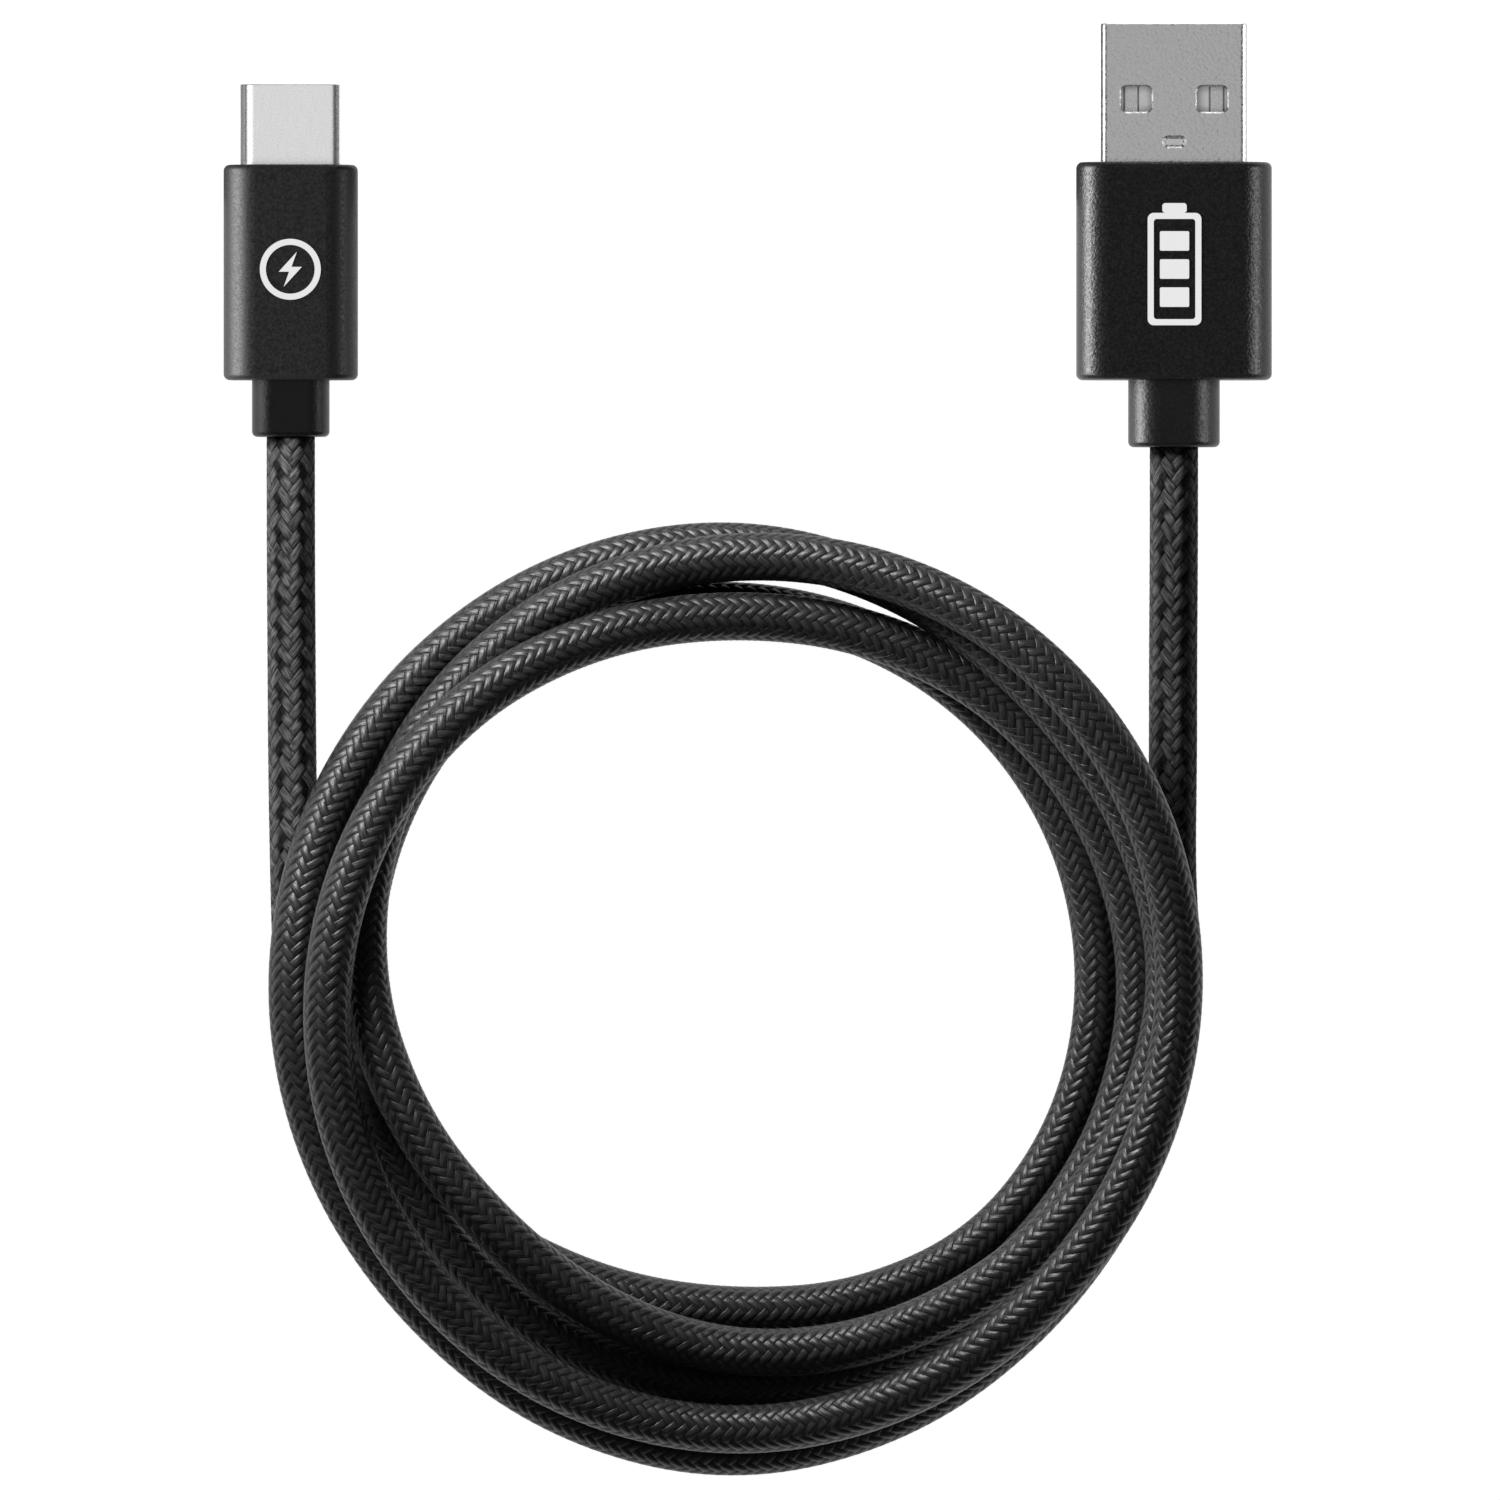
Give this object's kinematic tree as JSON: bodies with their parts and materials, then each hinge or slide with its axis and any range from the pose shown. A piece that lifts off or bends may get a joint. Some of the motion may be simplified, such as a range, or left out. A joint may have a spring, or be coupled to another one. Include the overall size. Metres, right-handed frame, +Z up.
{
  "type": "charging cable",
  "caption": "Black braided charging cable with a flat host plug at one end and a small reversible plug at the other, wound in a loose hand coil.",
  "frame": {"origin": "on the table, at the middle of the box round the two plugs; the coil and the leads lie in front of it, at -Y", "axes": "+X from the USB-C plug towards the USB-A plug, +Y the way both plugs point, +Z up from the table"},
  "size_m": [0.086, 0.1187, 0.0152],
  "materials": {
    "plug_steel": "matte grained nickel plate on folded steel",
    "shell_satin_steel": "bright satin",
    "insulator_plastic": "moulded, light grey",
    "insulator_black": "moulded, black",
    "contact_metal": "nickel plated",
    "spring_steel": "rolled spring strip",
    "solder": "dull solder",
    "circuit_board": "solder mask",
    "resistor_body": "glazed",
    "cable_jacket": "extruded, black",
    "cable_braid": "braided nylon, black",
    "inner_filling": "moulded, natural",
    "usb_a_casing": "fine spark grain, black",
    "usb_c_casing": "satin, black",
    "relief_rubber": "fine grain, black",
    "mark_ink": "pad print, pale grey",
    "wire_power": "extruded, red",
    "wire_data_minus": "extruded, white",
    "wire_data_plus": "extruded, green",
    "wire_ground": "extruded, black"
  },
  "bodies": {
    "root": {"usb_a_shell": "plug_steel", "usb_c_shell": "shell_satin_steel", "usb_a_tongue": "insulator_plastic", "usb_c_insulator": "insulator_black", "usb_a_contact_power": "contact_metal", "usb_a_contact_data_minus": "contact_metal", "usb_a_contact_data_plus": "contact_metal", "usb_a_contact_ground": "contact_metal", "usb_c_upper_contacts": "contact_metal", "usb_c_lower_contacts": "contact_metal", "usb_c_latch": "spring_steel", "usb_c_upper_ground_spring": "spring_steel", "usb_c_lower_ground_spring": "spring_steel", "usb_c_board": "circuit_board", "usb_c_resistor": "resistor_body", "usb_a_rear_shield": "spring_steel", "usb_c_rear_shield": "spring_steel", "usb_a_solder_joints": "solder", "usb_c_solder_joints": "solder", "usb_a_jacket_end": "cable_jacket", "usb_c_jacket_end": "cable_jacket", "usb_a_braid_end": "cable_braid", "usb_c_braid_end": "cable_braid", "usb_a_inner_mould": "inner_filling", "usb_c_inner_mould": "inner_filling", "usb_a_housing": "usb_a_casing", "usb_c_housing": "usb_c_casing", "usb_a_strain_relief": "relief_rubber", "usb_c_strain_relief": "relief_rubber", "usb_a_mark": "mark_ink", "usb_c_mark": "mark_ink", "usb_c_lead": "cable_braid", "cable_coil": "cable_braid", "usb_a_lead": "cable_braid", "usb_a_wire_power": "wire_power", "usb_a_wire_data_minus": "wire_data_minus", "usb_a_wire_data_plus": "wire_data_plus", "usb_a_wire_ground": "wire_ground", "usb_c_wire_power": "wire_power", "usb_c_wire_data_minus": "wire_data_minus", "usb_c_wire_data_plus": "wire_data_plus", "usb_c_wire_ground": "wire_ground"}
  },
  "joints": []
}
